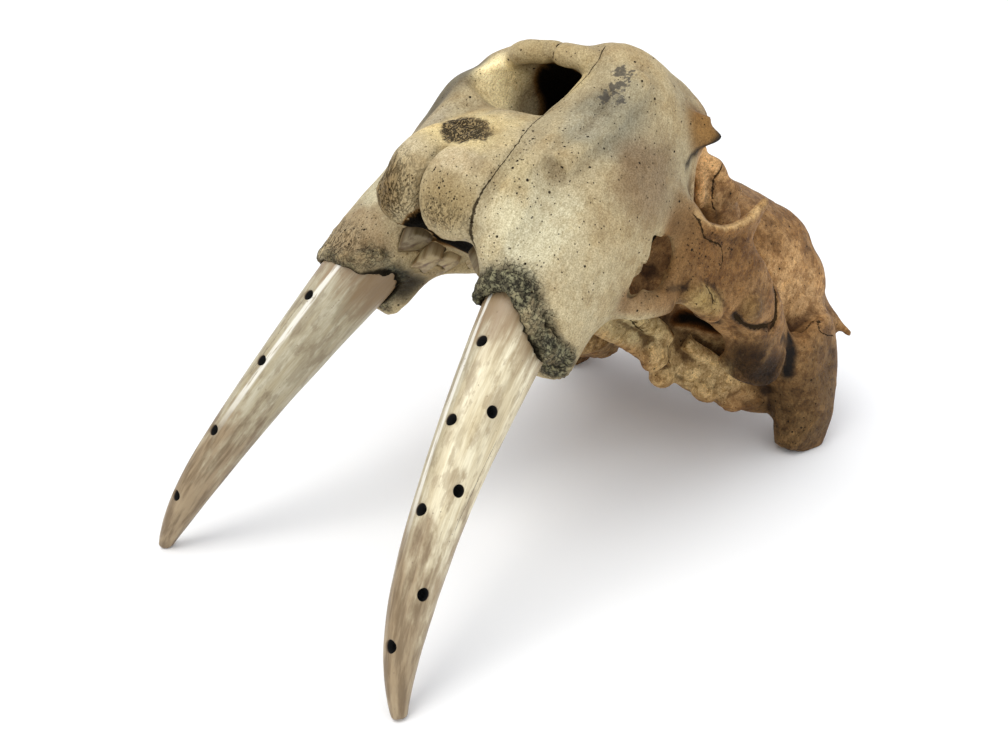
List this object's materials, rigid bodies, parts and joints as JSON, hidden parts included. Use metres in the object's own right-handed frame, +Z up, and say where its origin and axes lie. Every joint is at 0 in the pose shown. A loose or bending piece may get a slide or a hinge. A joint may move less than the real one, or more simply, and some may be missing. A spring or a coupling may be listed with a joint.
{
  "type": "walrus skull",
  "caption": "Walrus skull without its lower jaw, with worn and drilled tusks, resting nose up on the tusk tips and the mastoids behind the ears.",
  "frame": {"origin": "on the floor, under the middle of the skull's bounding box", "axes": "+X to the animal's left, +Y to the back of the head, +Z up, as the skull rests"},
  "size_m": [0.2492, 0.4612, 0.2864],
  "materials": {
    "bone": "dry, porous bone, pale on the snout and brown behind",
    "ivory": "cream ivory with a soft gloss, stained brown in streaks",
    "tooth": "worn, yellowed tooth"
  },
  "bodies": {
    "root": {"cranium": "bone", "left_tusk": "ivory", "right_tusk": "ivory", "left_incisor": "tooth", "left_cheek_tooth_1": "tooth", "left_cheek_tooth_2": "tooth", "left_cheek_tooth_3": "tooth", "right_incisor": "tooth", "right_cheek_tooth_1": "tooth", "right_cheek_tooth_2": "tooth", "right_cheek_tooth_3": "tooth"}
  },
  "joints": []
}
